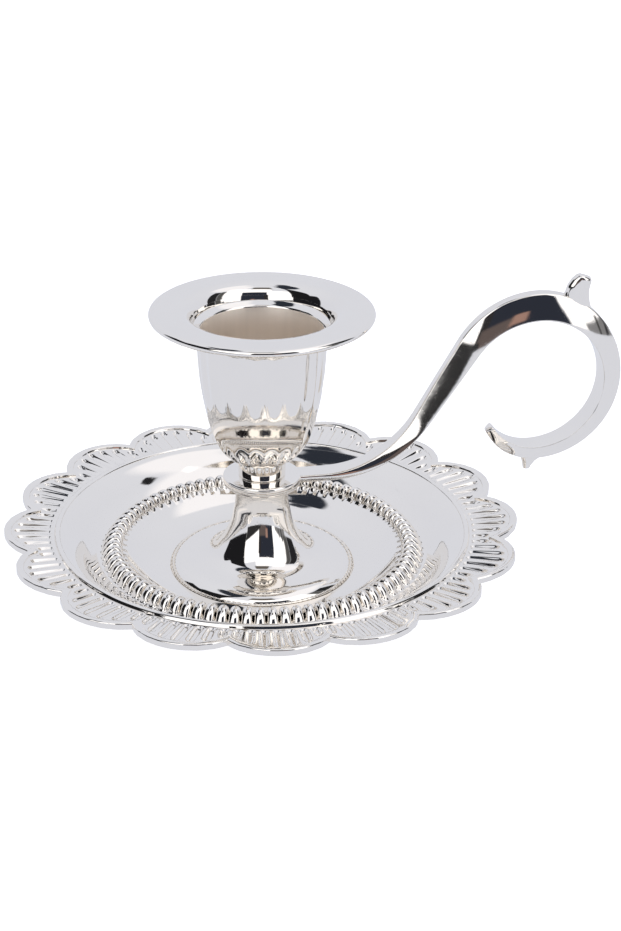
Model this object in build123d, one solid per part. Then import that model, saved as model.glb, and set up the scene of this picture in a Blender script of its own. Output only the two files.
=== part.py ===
from build123d import *
from math import cos, degrees, pi, radians, sin, sqrt
import os

# Chamberstick with finger loop: a scalloped drip plate, a hollow stem, a handle with a collar,
# a fluted candle cup and a cup flange, clamped together by one long screw from below.
# Millimetres, +Z up. The origin is on the stem's axis, at the table. The handle points to +X.

# Fits
screw_clearance = 0.15
seat_clearance = 0.4
candle_clearance = 0.4
overrun = 1.0
root_depth = 0.6

# Tie screw and washer
screw_radius = 2.0
head_radius = 3.7
head_height = 2.2
head_lift = 0.3
head_chamfer = 0.5
slot_width = 1.1
slot_depth = 1.0
washer_radius = 4.5
washer_thickness = 0.6
thread_reach = 5.6

# Drip plate
plate_radius = 50.0
plate_thickness = 1.3
lobe_count = 16
lobe_turn = 17.25
scallop_depth = 3.9
edge_chamfer = 0.4
rim_inner_radius = 39.2
rim_height = 10.1
rim_rise = 1.0
bead_width = 1.0
bead_height = 0.35
bead_crown_share = 0.4
wall_foot_radius = 30.8
wall_foot_height = 4.5
wall_bow = 0.25
ring_inner_radius = 27.2
ring_inner_height = 5.7
floor_height = 2.1
floor_bow = 0.9
boss_radius = 6.5
boss_slope_run = 1.4
foot_ring_radius = 19.5
foot_ring_width = 2.0

# Flutes of the rim
flutes_per_lobe = 7
flute_width = 1.75
flute_floor_share = 0.6
flute_depth = 0.42
flute_inset = 0.8
flute_end_gap = 0.3
lip_width = 1.35
lip_wedge = 2.05
panel_depth = 0.22

# Gadroons: roofed tongues, side by side, that rise from the wall's foot to a crest and drop to a
# nose. Shares of a tongue's length from foot to nose and of its height, and the roof's points to
# each side as shares of its width and of its drop from ridge to eaves
gadroon_count = 80
gadroon_turn = 3.75
gadroon_width = 2.6
gadroon_height = 2.65
gadroon_drop = 0.95
gadroon_root = 0.6
gadroon_overhang = 0.15
gadroon_along_shares = ((0.0, 0.14), (0.52, 1.0), (0.84, 0.74), (1.0, 0.36))
gadroon_roof_shares = ((0.0, 0.0), (0.5, 1.0))

# Pedestal stem
stem_height = 17.4
stem_foot_radius = 18.05
stem_foot_thickness = 1.2
stem_foot_chamfer = 0.45
stem_shoulder_radius = 12.2
stem_shoulder_height = 1.85
stem_flare_radius = 8.6
stem_flare_height = 3.7
stem_waist_radius = 5.84
stem_waist_height = 9.5
stem_top_radius = 5.05
stem_wall = 1.3
stem_foot_land = 3.0

# Handle: one strip on a path of straight runs and tangent arcs
collar_radius = 7.5
collar_thickness = 1.86
collar_chamfer = 0.25
handle_width = 5.5
handle_thickness = 4.4
handle_lift = 0.35
handle_edge = 0.5
handle_overlap = 2.5
root_run = 5.0
low_bend_radius = 23.6
rise_run = 16.6
crest_radius = 14.3
loop_radius = 13.15
return_radius = 12.2
rise_turn = 56.0
loop_turn = 180.0
return_turn = 49.0
# Share of the strip's length, then the inner face's and the outer face's width and the
# thickness there, as shares of the handle's width, width and thickness
handle_section_shares = (
    (0.000, 0.84, 0.82, 0.30),
    (0.066, 0.84, 0.82, 0.30),
    (0.120, 0.86, 0.74, 0.36),
    (0.185, 0.91, 0.64, 0.46),
    (0.271, 0.97, 0.54, 0.62),
    (0.344, 1.00, 0.44, 0.77),
    (0.418, 1.00, 0.42, 0.83),
    (0.480, 1.00, 0.37, 0.94),
    (0.541, 1.00, 0.35, 1.00),
    (0.602, 1.00, 0.38, 0.97),
    (0.664, 1.00, 0.43, 0.91),
    (0.725, 1.00, 0.46, 0.86),
    (0.787, 0.99, 0.47, 0.80),
    (0.848, 0.97, 0.47, 0.74),
    (0.908, 0.94, 0.47, 0.67),
    (0.945, 0.88, 0.45, 0.58),
    (0.975, 0.78, 0.42, 0.47),
    (1.000, 0.60, 0.34, 0.34),
)

# Thumb rest and spur: a place on the strip, and an outline of points along the strip and out
# from its inner face, as shares of the height from that face to the tip
thumb_rest_place_share = 0.603
thumb_rest_height = 9.6
thumb_rest_width = 2.9
thumb_rest_back_shares = ((-0.44, 0.36), (-0.34, 0.66), (-0.365, 0.99))
thumb_rest_front_shares = ((-0.175, 1.01), (-0.043, 0.73), (0.41, 0.34))
thumb_rest_base_share = 0.22
spur_place_share = 0.908
spur_height = 5.6
spur_width = 2.6
spur_back_shares = ((-0.50, 0.48), (-0.17, 0.82), (0.02, 1.0))
spur_front_shares = ((0.125, 0.93), (0.19, 0.70), (0.36, 0.46))
spur_base_share = 0.25

# Candle cup
candle_diameter = 22.0
socket_length = 8.0
mouth_height = 0.95
socket_floor_height = 7.4
neck_radius = 4.5
neck_waist_radius = 4.0
neck_waist_height = 0.8
bell_height = 31.64
bell_radius = 12.4
rim_bead_radius = 12.95
rim_bead_height = 1.4
bell_flute_count = 20
bell_flute_turn = 11.6
bell_flute_depth = 0.38
# Shares of the bell's height, radius and flute depth, from its foot to its rim
bell_shares = (
    (0.068, 0.427, 0.20),
    (0.096, 0.481, 0.60),
    (0.140, 0.577, 1.00),
    (0.207, 0.685, 1.00),
    (0.317, 0.796, 1.00),
    (0.428, 0.863, 0.85),
    (0.535, 0.915, 0.60),
    (0.643, 0.954, 0.40),
    (0.798, 0.981, 0.20),
    (1.000, 1.000, 0.05),
)
# Shares of the bell's height and of the socket's radius, where the socket narrows
socket_taper_shares = ((0.455, 0.845), (0.30, 0.71))
socket_floor_share = 0.62

# Cup flange
flange_radius = 21.17
flange_thickness = 1.4
flange_chamfer = 0.4
flange_rise = 2.0
funnel_radius = 16.0
funnel_throat_radius = 12.45
funnel_roll_run = 2.4
funnel_roll_drop = 0.6

# Heights and radii that follow from the sizes above
boss_under_height = head_lift + head_height + washer_thickness
bead_outer_radius = rim_inner_radius + bead_width
valley_radius = plate_radius - scallop_depth
arch_tip_radius = plate_radius - lip_width
arch_valley_radius = valley_radius - lip_wedge
collar_height = floor_height + stem_height
cup_height = collar_height + collar_thickness
rim_top_height = cup_height + bell_height
flange_top_height = rim_top_height + flange_rise
socket_radius = candle_diameter / 2 + candle_clearance
shank_hole_radius = screw_radius + screw_clearance
lobe_pitch = 360 / lobe_count


def spot(radius, azimuth, height=0):
    """The point at this radius, azimuth in degrees and height."""
    return (radius * cos(radians(azimuth)), radius * sin(radians(azimuth)), height)


def bowed(start, end, bow):
    """An arc from start to end whose middle stands this far to the left of the straight line."""
    run = Vector(*end) - Vector(*start)
    middle = (Vector(*start) + Vector(*end)) / 2
    aside = Vector(-run.Y, run.X) / run.length
    return ThreePointArc(start, middle + aside * bow, end)


def turned(edges):
    """The solid that closed edges, drawn as radius and height, sweep about the stem's axis."""
    return revolve(Plane.XZ * make_face(edges), Axis.Z)


def disc(radius, low, high):
    """A round solid about the stem's axis, between two heights."""
    return Pos(0, 0, low) * Cylinder(radius, high - low, align=(Align.CENTER, Align.CENTER, Align.MIN))


def rim_surface(radius):
    """Height of the rim's sloping top at this radius."""
    return rim_height + rim_rise * (radius - bead_outer_radius) / (plate_radius - bead_outer_radius)


def lobe_arc(tip, valley):
    """Centre and radius of the arc through a lobe's tip and both its valleys, given their radii."""
    half_turn = pi / lobe_count
    centre = (tip**2 - valley**2) / (tip - valley * cos(half_turn)) / 2
    return centre, tip - centre


def lobe_reach(tip, valley, offset):
    """Radius of that arc's outline at this angle from the middle of the lobe."""
    centre, radius = lobe_arc(tip, valley)
    return centre * cos(radians(offset)) + sqrt(radius**2 - (centre * sin(radians(offset))) ** 2)


def scalloped(tip, valley):
    """The flat shape inside one such arc for each lobe."""
    arcs = []
    for lobe in range(lobe_count):
        azimuth = lobe_turn + lobe * lobe_pitch
        start = spot(valley, azimuth - lobe_pitch / 2)
        end = spot(valley, azimuth + lobe_pitch / 2)
        arcs.append(ThreePointArc(start, spot(tip, azimuth), end))
    return make_face(arcs)


def plate_casting():
    """Boss, flat seat, dished floor, ring foot, wall, bead and rim, turned and cut to its lobes."""
    boss_top = boss_under_height + plate_thickness
    boss_foot_radius = boss_radius + boss_slope_run
    seat_radius = stem_foot_radius + seat_clearance
    past_edge = plate_radius + overrun
    under_floor = floor_height - plate_thickness
    wall_middle_radius = (wall_foot_radius + rim_inner_radius) / 2
    wall_middle_height = (wall_foot_height + rim_height) / 2
    inset = plate_thickness / 2
    top = [
        Line((shank_hole_radius, boss_top), (boss_radius, boss_top)),
        Line((boss_radius, boss_top), (boss_foot_radius, floor_height)),
        Line((boss_foot_radius, floor_height), (seat_radius, floor_height)),
        bowed((seat_radius, floor_height), (ring_inner_radius, ring_inner_height), -floor_bow),
        Line((ring_inner_radius, ring_inner_height), (wall_foot_radius, wall_foot_height)),
        bowed((wall_foot_radius, wall_foot_height), (wall_middle_radius, wall_middle_height), -wall_bow),
        bowed((wall_middle_radius, wall_middle_height), (rim_inner_radius, rim_height), wall_bow),
        Line((bead_outer_radius, rim_height), (past_edge, rim_surface(past_edge))),
    ]
    crown = rim_height + bead_height
    crown_inset = bead_width * (1 - bead_crown_share) / 2
    bead = [
        Line((rim_inner_radius, rim_height), (rim_inner_radius + crown_inset, crown)),
        Line((rim_inner_radius + crown_inset, crown), (bead_outer_radius - crown_inset, crown)),
        Line((bead_outer_radius - crown_inset, crown), (bead_outer_radius, rim_height)),
    ]
    lower = Pos(0, -plate_thickness)
    under = [
        Line((shank_hole_radius, boss_under_height), (boss_radius - inset, boss_under_height)),
        Line((boss_radius - inset, boss_under_height), (boss_foot_radius - inset, under_floor)),
        Line((boss_foot_radius - inset, under_floor), (seat_radius, under_floor)),
        lower * Line((seat_radius, floor_height), (ring_inner_radius, ring_inner_height)),
        lower * top[4],
        lower * Line((wall_foot_radius, wall_foot_height), (rim_inner_radius, rim_height)),
        lower * Line((rim_inner_radius, rim_height), (bead_outer_radius, rim_height)),
        lower * top[7],
    ]
    ends = [
        Line((shank_hole_radius, boss_under_height), (shank_hole_radius, boss_top)),
        Line((past_edge, rim_surface(past_edge) - plate_thickness), (past_edge, rim_surface(past_edge))),
    ]
    casting = turned(top + bead + under + ends)
    casting &= extrude(scalloped(plate_radius, valley_radius), past_edge)
    ring_outer = foot_ring_radius + foot_ring_width / 2
    ring_inner = foot_ring_radius - foot_ring_width / 2
    ring_top = floor_height - plate_thickness / 2
    return casting + (disc(ring_outer, 0, ring_top) - disc(ring_inner, -overrun, ring_top + overrun))


def arched_panels():
    """The shallow recess in the rim: one flat arch for each lobe, inside the smooth lip."""
    past_edge = plate_radius + overrun
    above = rim_surface(past_edge) + overrun
    inner_floor = rim_surface(bead_outer_radius) - panel_depth
    outer_floor = rim_surface(past_edge) - panel_depth
    facet_turn = lobe_turn - lobe_pitch / 2
    rings = [
        Pos(0, 0, height) * RegularPolygon(radius, lobe_count, major_radius=False, rotation=facet_turn)
        for radius, height in ((bead_outer_radius, inner_floor), (past_edge, outer_floor))
    ]
    recess = loft([ring.face() for ring in rings], ruled=True) + extrude(rings[1], above - outer_floor)
    recess -= disc(bead_outer_radius, inner_floor - overrun, above + overrun)
    return recess & extrude(scalloped(arch_tip_radius, arch_valley_radius), above + overrun)


def rim_flutes():
    """Channels with leaning sides that deepen outwards and stop short of the arch they fill."""
    inner = bead_outer_radius + flute_inset
    half_floor = flute_width * flute_floor_share / 2
    half_top = flute_width / 2
    pitch = lobe_pitch / flutes_per_lobe
    channels = []
    for number in range(flutes_per_lobe):
        offset = (number + 0.5) * pitch - lobe_pitch / 2
        corner_offset = abs(offset) + degrees(half_top / arch_valley_radius)
        outer = lobe_reach(arch_tip_radius, arch_valley_radius, corner_offset) - flute_end_gap
        start = Vector(inner, 0, rim_surface(inner) - panel_depth)
        end = Vector(outer, 0, rim_surface(outer) - panel_depth - flute_depth)
        section = Plane(origin=start, x_dir=(0, 1, 0), z_dir=end - start) * make_face(
            Polyline(
                (half_floor, 0),
                (half_top, flute_depth),
                (half_top, flute_depth * 2),
                (-half_top, flute_depth * 2),
                (-half_top, flute_depth),
                (-half_floor, 0),
                close=True,
            )
        )
        channel = extrude(section, (end - start).length)
        for lobe in range(lobe_count):
            channels.append(Rot(0, 0, lobe_turn + lobe * lobe_pitch + offset) * channel)
    return channels


def flat_sided(sections):
    """The solid between matching rings of points, whose sides are flat faces."""
    faces = [Face(Wire.make_polygon(sections[0])), Face(Wire.make_polygon(sections[-1]))]
    for near, far in zip(sections, sections[1:]):
        for here, there, beyond, back in zip(near, near[1:] + near[:1], far[1:] + far[:1], far):
            faces.append(Face(Wire.make_polygon([here, there, beyond, back])))
    return Solid(Shell(faces))


def gadroon():
    """One tongue of the ring, pointing along +X, with upright sides under its roof."""
    foot = wall_foot_radius + root_depth
    length = foot - ring_inner_radius + gadroon_overhang
    base_slope = (ring_inner_height - wall_foot_height) / (wall_foot_radius - ring_inner_radius)
    half = [(-across, drop) for across, drop in gadroon_roof_shares[:0:-1]]
    roof = half + list(gadroon_roof_shares)
    sections = []
    for along, height in gadroon_along_shares:
        radius = foot - along * length
        base = wall_foot_height + base_slope * (wall_foot_radius - radius)
        ridge = base + height * gadroon_height
        section = [(radius, across * gadroon_width, ridge - drop * gadroon_drop) for across, drop in roof]
        section.append((radius, gadroon_width / 2, base - gadroon_root))
        section.append((radius, -gadroon_width / 2, base - gadroon_root))
        sections.append(section)
    return flat_sided(sections)


def drip_plate():
    """The plate with its eased edge, arched and fluted rim and ring of gadroons."""
    plate = plate_casting()
    upper = plate.edges().filter_by(
        lambda edge: (edge @ 0.5).X ** 2 + (edge @ 0.5).Y ** 2 > arch_tip_radius**2
        and (edge @ 0.5).Z > rim_surface(plate_radius) - plate_thickness / 2
    )
    plate = chamfer(upper, edge_chamfer)
    plate = plate - [arched_panels()] - rim_flutes()
    tongue = gadroon()
    pitch = 360 / gadroon_count
    return plate + [Rot(0, 0, gadroon_turn + pitch * number) * tongue for number in range(gadroon_count)]


def pedestal_stem():
    """Round foot disc that flares into a hollow trumpet, with a thick land on top."""
    low = floor_height
    top = low + stem_height
    rim_radius = stem_foot_radius - stem_foot_chamfer
    foot_top = low + stem_foot_thickness
    flare = Spline(
        (rim_radius, foot_top),
        (stem_shoulder_radius, low + stem_shoulder_height),
        (stem_flare_radius, low + stem_flare_height),
        (stem_waist_radius, low + stem_waist_height),
        (stem_top_radius, top),
        tangents=((-1, 0), (0, 1)),
    )
    body = [
        Line((0, low), (stem_foot_radius, low)),
        Line((stem_foot_radius, low), (stem_foot_radius, foot_top - stem_foot_chamfer)),
        Line((stem_foot_radius, foot_top - stem_foot_chamfer), (rim_radius, foot_top)),
        flare,
        Line((stem_top_radius, top), (0, top)),
        Line((0, top), (0, low)),
    ]
    land_under = top - stem_wall * 2
    cavity_radius = stem_foot_radius - stem_foot_land
    hollow = Polyline(
        (cavity_radius, low),
        (stem_flare_radius - stem_wall, low + stem_flare_height - stem_wall * 1.2),
        (stem_waist_radius - stem_wall, low + stem_waist_height),
        (stem_top_radius - stem_wall, land_under),
    )
    cavity = [
        hollow,
        Line((stem_top_radius - stem_wall, land_under), (0, land_under)),
        Line((0, land_under), (0, low - overrun)),
        Line((0, low - overrun), (cavity_radius, low - overrun)),
        Line((cavity_radius, low - overrun), (cavity_radius, low)),
    ]
    return turned(body) - turned(cavity) - disc(shank_hole_radius, low, top + overrun)


def handle_path():
    """The middle line of the strip's inner face, from inside the collar to the loop's free tip."""
    start = (collar_radius - handle_overlap, collar_height + handle_lift)
    root = Line(start, (collar_radius + root_run, collar_height + handle_lift))
    low_bend = JernArc(root @ 1, root % 1, low_bend_radius, rise_turn)
    rise = Line(low_bend @ 1, (low_bend @ 1) + (low_bend % 1) * rise_run)
    crest = JernArc(rise @ 1, rise % 1, crest_radius, -rise_turn)
    loop = JernArc(crest @ 1, crest % 1, loop_radius, -loop_turn)
    tail = JernArc(loop @ 1, loop % 1, return_radius, -return_turn)
    return Plane.XZ * Wire([root.edge(), low_bend.edge(), rise.edge(), crest.edge(), loop.edge(), tail.edge()])


def handle_section(path, share, inner, outer, thickness):
    """The strip's section: a wide inner face with eased edges, and sides that lean in to a narrow back."""
    plane = Plane(origin=path @ share, x_dir=(0, 1, 0), z_dir=path % share)
    half_inner = inner * handle_width / 2
    half_outer = outer * handle_width / 2
    tall = thickness * handle_thickness
    ease = handle_edge * thickness
    return plane * make_face(
        Polyline(
            (half_inner - ease, 0),
            (half_inner, ease),
            (half_outer, tall),
            (-half_outer, tall),
            (-half_inner, ease),
            (ease - half_inner, 0),
            close=True,
        )
    )


def handle_horn(path, place, height, width, back, front, base):
    """A cast point that stands on the strip's back, with hollow flanks."""
    plane = Plane(origin=path @ place, x_dir=path % place, z_dir=(0, -1, 0))
    rear = [(along * height, out * height) for along, out in back]
    fore = [(along * height, out * height) for along, out in front]
    rear_root = (rear[0][0], base * height)
    fore_root = (fore[-1][0], base * height)
    outline = [
        Line(rear_root, rear[0]),
        ThreePointArc(*rear),
        Line(rear[-1], fore[0]),
        ThreePointArc(*fore),
        Line(fore[-1], fore_root),
        Line(fore_root, rear_root),
    ]
    return extrude(plane * make_face(outline), width / 2, both=True)


def handle():
    """Collar, strip, thumb rest and spur as one casting."""
    path = handle_path()
    strip = loft([handle_section(path, *shares) for shares in handle_section_shares])
    tip_share = handle_section_shares[-1]
    tip_radius = tip_share[3] * handle_thickness / 2
    tip_plane = Plane(origin=path @ 1, x_dir=(0, 1, 0), z_dir=path % 1)
    tip_place = tip_plane * Pos(0, tip_radius, 0) * Rot(0, 90, 0)
    tip = tip_place * Cylinder(tip_radius, tip_share[2] * handle_width)
    thumb_rest = handle_horn(
        path,
        thumb_rest_place_share,
        thumb_rest_height,
        thumb_rest_width,
        thumb_rest_back_shares,
        thumb_rest_front_shares,
        thumb_rest_base_share,
    )
    spur = handle_horn(
        path,
        spur_place_share,
        spur_height,
        spur_width,
        spur_back_shares,
        spur_front_shares,
        spur_base_share,
    )
    collar = disc(collar_radius, collar_height, cup_height)
    collar = chamfer(collar.edges().filter_by(GeomType.CIRCLE), collar_chamfer)
    casting = collar + strip + tip + thumb_rest + spur
    return casting - disc(shank_hole_radius, collar_height - overrun, cup_height + overrun)


def fluted_section(height, radius, depth):
    """A round section whose outline is one hollow arc for each flute, between sharp ridges."""
    pitch = 360 / bell_flute_count
    arcs = []
    for number in range(bell_flute_count):
        ridge = bell_flute_turn + number * pitch
        middle = spot(radius - depth, ridge + pitch / 2)
        arcs.append(ThreePointArc(spot(radius, ridge), middle, spot(radius, ridge + pitch)))
    return Pos(0, 0, height) * make_face(arcs)


def candle_cup():
    """Waisted neck, fluted bell and rim bead, with a straight socket and a tapped neck."""
    sections = [
        fluted_section(cup_height + up * bell_height, radius * bell_radius, depth * bell_flute_depth)
        for up, radius, depth in bell_shares
    ]
    bell = loft(sections)
    bell_foot_radius = bell_shares[0][1] * bell_radius
    bell_foot = cup_height + bell_shares[0][0] * bell_height
    waist_height = cup_height + neck_waist_height
    neck = turned(
        [
            Line((0, cup_height), (neck_radius, cup_height)),
            Line((neck_radius, cup_height), (neck_waist_radius, waist_height)),
            Line((neck_waist_radius, waist_height), (bell_foot_radius, bell_foot)),
            Line((bell_foot_radius, bell_foot), (bell_foot_radius - root_depth, bell_foot + root_depth)),
            Line((bell_foot_radius - root_depth, bell_foot + root_depth), (0, bell_foot + root_depth)),
            Line((0, bell_foot + root_depth), (0, cup_height)),
        ]
    )
    bead_low = rim_top_height - rim_bead_height
    bead_step = rim_bead_radius - bell_radius
    bead = turned(
        Polyline(
            (0, bead_low - bead_step),
            (bell_radius - root_depth, bead_low - bead_step),
            (bell_radius, bead_low - bead_step),
            (rim_bead_radius, bead_low),
            (rim_bead_radius, rim_top_height),
            (0, rim_top_height),
            close=True,
        )
    )
    mouth_low = rim_top_height - mouth_height
    straight_low = mouth_low - socket_length
    taper = [(share * socket_radius, cup_height + up * bell_height) for up, share in socket_taper_shares]
    floor_radius = socket_floor_share * socket_radius
    floor_top = cup_height + socket_floor_height
    above = rim_top_height + overrun
    socket = turned(
        [
            Line((0, floor_top), (floor_radius, floor_top)),
            Polyline((floor_radius, floor_top), taper[1], taper[0], (socket_radius, straight_low)),
            Line((socket_radius, straight_low), (socket_radius, mouth_low)),
            Line((socket_radius, mouth_low), (funnel_throat_radius, rim_top_height)),
            Line((funnel_throat_radius, rim_top_height), (funnel_throat_radius, above)),
            Line((funnel_throat_radius, above), (0, above)),
            Line((0, above), (0, floor_top)),
        ]
    )
    tapped_top = cup_height + thread_reach + screw_clearance
    return bell + neck + bead - socket - disc(screw_radius, cup_height - overrun, tapped_top)


def cup_flange():
    """Wide flat flange whose middle rolls down into a funnel and stands on the cup's rim bead."""
    under = flange_top_height - flange_thickness
    edge = flange_radius - flange_chamfer
    high = flange_top_height - flange_chamfer
    low = under + flange_chamfer
    roll = (funnel_radius - funnel_roll_run, flange_top_height - funnel_roll_drop)
    return turned(
        [
            Line((funnel_throat_radius, rim_top_height), (rim_bead_radius, rim_top_height)),
            Line((rim_bead_radius, rim_top_height), (funnel_radius, under)),
            Line((funnel_radius, under), (edge, under)),
            Line((edge, under), (flange_radius, low)),
            Line((flange_radius, low), (flange_radius, high)),
            Line((flange_radius, high), (edge, flange_top_height)),
            Line((edge, flange_top_height), (funnel_radius, flange_top_height)),
            Line((funnel_radius, flange_top_height), roll),
            Line(roll, (funnel_throat_radius, rim_top_height)),
        ]
    )


def tie_screw():
    """Pan-head screw that reaches from under the plate into the cup's tapped neck."""
    head_top = head_lift + head_height
    head = disc(head_radius, head_lift, head_top)
    lower_edge = head.edges().filter_by(GeomType.CIRCLE).sort_by(Axis.Z)[0]
    head = chamfer(lower_edge, head_chamfer)
    slot = Box(head_radius * 3, slot_width, slot_depth * 2)
    head = head - Pos(0, 0, head_lift) * slot
    return head + disc(screw_radius, head_top - root_depth, cup_height + thread_reach)


def tie_washer():
    """Plain washer between the screw's head and the plate."""
    low = head_lift + head_height
    high = low + washer_thickness
    return disc(washer_radius, low, high) - disc(shank_hole_radius, low - overrun, high + overrun)


os.makedirs("parts", exist_ok=True)
for make in (drip_plate, pedestal_stem, handle, candle_cup, cup_flange, tie_screw, tie_washer):
    export_step(make(), "parts/" + make.__name__ + ".step")
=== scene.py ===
"""Silver-plated chamberstick with a finger loop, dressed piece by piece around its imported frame."""

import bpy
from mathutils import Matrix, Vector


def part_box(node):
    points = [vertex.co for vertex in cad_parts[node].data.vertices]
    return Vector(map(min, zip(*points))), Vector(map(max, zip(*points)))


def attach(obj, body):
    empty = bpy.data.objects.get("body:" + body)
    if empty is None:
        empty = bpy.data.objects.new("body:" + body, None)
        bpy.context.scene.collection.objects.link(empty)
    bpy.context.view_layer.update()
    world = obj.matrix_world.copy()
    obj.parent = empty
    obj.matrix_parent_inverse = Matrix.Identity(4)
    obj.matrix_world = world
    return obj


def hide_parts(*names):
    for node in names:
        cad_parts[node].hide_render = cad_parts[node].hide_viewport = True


bl_info = {
    "name": "Chamberstick with finger loop",
    "version": (1, 0, 0),
    "blender": (4, 5, 0),
    "location": "View3D > Sidebar > Chamberstick",
    "description": "Builds a silver-plated chamberstick with a fluted plate, and the stage around it",
    "category": "Object",
}

from math import cos, pi, radians, sin, sqrt, tau

import bpy
import numpy as np
from bpy.props import FloatProperty, FloatVectorProperty, IntProperty, PointerProperty
from bpy.types import Operator, Panel, PropertyGroup
from mathutils import Vector

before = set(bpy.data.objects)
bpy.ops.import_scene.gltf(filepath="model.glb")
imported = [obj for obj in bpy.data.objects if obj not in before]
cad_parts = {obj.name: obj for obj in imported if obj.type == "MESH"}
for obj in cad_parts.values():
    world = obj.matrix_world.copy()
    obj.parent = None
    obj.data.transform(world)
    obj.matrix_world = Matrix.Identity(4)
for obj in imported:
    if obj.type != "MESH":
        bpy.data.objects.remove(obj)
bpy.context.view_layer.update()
stem_low, stem_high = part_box("pedestal_stem")
cup_low, cup_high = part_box("candle_cup")
flange_low, flange_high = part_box("cup_flange")

MM = 0.001
MERGE = 0.002 * MM
SHARP_ANGLE = radians(50)
SCREW_WAY = 2.15 * MM

# Rim: the fluted panel's share of its reach, the edge's rounding as a share of the thickness, the
# lip's crown, and the shares of the reach over which the panel sinks at its two ends
ARCH_SHARE = 0.84
EDGE_SHARE = 0.2
LIP_CROWN = 0.16 * MM
PANEL_STEPS = (0.02, 0.012)

# Columns of the mesh for each flute and each gadroon, the share of them gathered over its width, and
# how fast the flutes' columns gather past the bead
COLUMNS_EACH = 14
FLUTE_COLUMNS = 5 / 7
TONGUE_COLUMNS = 6 / 7
GATHER_RUN = 8

# Flutes: length of the drawn-out outer end in half widths, how far it is drawn out, how much hollower
# the middle is, and the share of the depth at the inner end
FLUTE_END_LENGTH = 1.7
FLUTE_END_STRETCH = 0.5
FLUTE_HOLLOW = 0.12
INNER_DEPTH = 0.7

# Gadroons: share of a half round across a tongue, power of its outer slope, and roundness of its nose
TONGUE_ROUND = 0.95
TONGUE_SLOPE = 0.8
NOSE_ROUND = 0.5

# Stem: radii and heights of the foot disc and trumpet, and of the hollow from the top down, in
# millimetres
TRUMPET = (
    (18.0, 2.32), (17.88, 2.60), (17.7, 2.88), (17.45, 3.15), (17.15, 3.40), (16.8, 3.63),
    (16.4, 3.83), (15.9, 4.00), (15.4, 4.10), (14.8, 4.18), (14.0, 4.26), (13.0, 4.34),
    (12.1, 4.44), (11.4, 4.57), (10.8, 4.75), (10.3, 4.96), (9.8, 5.24), (9.34, 5.60),
    (8.84, 6.15), (8.32, 6.80), (7.91, 7.37), (7.51, 8.00), (7.0, 9.00), (6.575, 10.00),
    (6.22, 11.00), (5.925, 12.00), (5.675, 13.00), (5.365, 14.40), (5.25, 15.00), (5.12, 16.00),
    (5.05, 17.50), (5.02, 18.70),
)
STEM_HOLLOW = ((4.4, 12.0), (6.4, 6.5), (9.5, 3.6), (13.0, 2.7))

# Candle cup: the neck's radii and heights, and the wall over the ledge as radii and depths under the
# rim, in millimetres
NECK = ((4.3, 0.0), (4.5, 0.12), (4.55, 0.35), (4.55, 1.0), (4.56, 1.8), (4.6, 2.5))
LEDGE_WALL = ((12.98, 0.0), (12.86, 0.33), (12.74, 0.63), (12.68, 0.9))
LEDGE_DEPTH = 0.9 * MM
SOCKET_FLOOR = 7.4 * MM

# Heights as shares of the cup's, with the bell's radius or the socket's as a share of the full one
BELL = (
    (0.096, 0.375), (0.101, 0.408), (0.111, 0.452), (0.126, 0.510), (0.145, 0.568), (0.172, 0.629),
    (0.207, 0.685), (0.260, 0.747), (0.317, 0.796), (0.372, 0.833), (0.428, 0.863), (0.480, 0.891),
    (0.535, 0.915), (0.590, 0.937), (0.643, 0.954), (0.720, 0.970), (0.798, 0.981), (0.870, 0.989),
    (0.925, 0.994),
)
SOCKET_WALL = ((0.79, 1.0), (0.717, 1.0), (0.6, 0.955), (0.455, 0.845), (0.36, 0.765), (0.30, 0.71))

# Depth of the bell's flutes, as a share of the greatest, at these shares of the cup's height
FLUTE_LEVELS = (0.085, 0.105, 0.15, 0.40, 0.55, 0.72, 0.90, 0.945)
FLUTE_DEPTHS = (0.0, 0.45, 1.0, 0.95, 0.70, 0.50, 0.42, 0.0)

# Flange: the funnel's radii and depths under the top, and its underside's radii and heights over its
# foot, in millimetres
FUNNEL = (
    (15.2, 0.11), (14.7, 0.24), (14.3, 0.44), (13.95, 0.68), (13.65, 0.98), (13.4, 1.31),
    (13.18, 1.66), (13.0, 2.01),
)
FUNNEL_UNDER = ((13.2, 0.0), (13.5, 0.1), (14.4, 0.35))

# Handle's strip: where its inner face begins, and the length in millimetres (radius times angle
# where it bends) and the bend in degrees of each run
STRIP_START = 5.0 * MM
STRIP_RUNS = (
    (7.5, 0),
    (23.6 * radians(56), 56),
    (16.6, 0),
    (14.3 * radians(56), -56),
    (13.15 * radians(180), -180),
    (9.6 * radians(54), -54),
)

# Shares of the strip's length, and there the widths of its inner and outer face and its thickness, as
# shares of the full width and thickness
STRIP_SHARES = (
    (0.000, 0.84, 0.82, 0.30),
    (0.067, 0.84, 0.82, 0.30),
    (0.121, 0.86, 0.74, 0.36),
    (0.187, 0.91, 0.58, 0.48),
    (0.274, 0.97, 0.42, 0.66),
    (0.348, 1.00, 0.36, 0.82),
    (0.423, 1.00, 0.38, 0.95),
    (0.486, 1.00, 0.42, 1.09),
    (0.548, 1.00, 0.44, 1.16),
    (0.609, 1.00, 0.44, 1.09),
    (0.672, 1.00, 0.45, 0.925),
    (0.734, 1.00, 0.46, 0.845),
    (0.797, 0.99, 0.47, 0.80),
    (0.859, 0.97, 0.47, 0.74),
    (0.919, 0.94, 0.47, 0.67),
    (0.957, 0.86, 0.44, 0.57),
    (0.987, 0.72, 0.38, 0.46),
    (1.000, 0.50, 0.28, 0.34),
)

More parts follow.
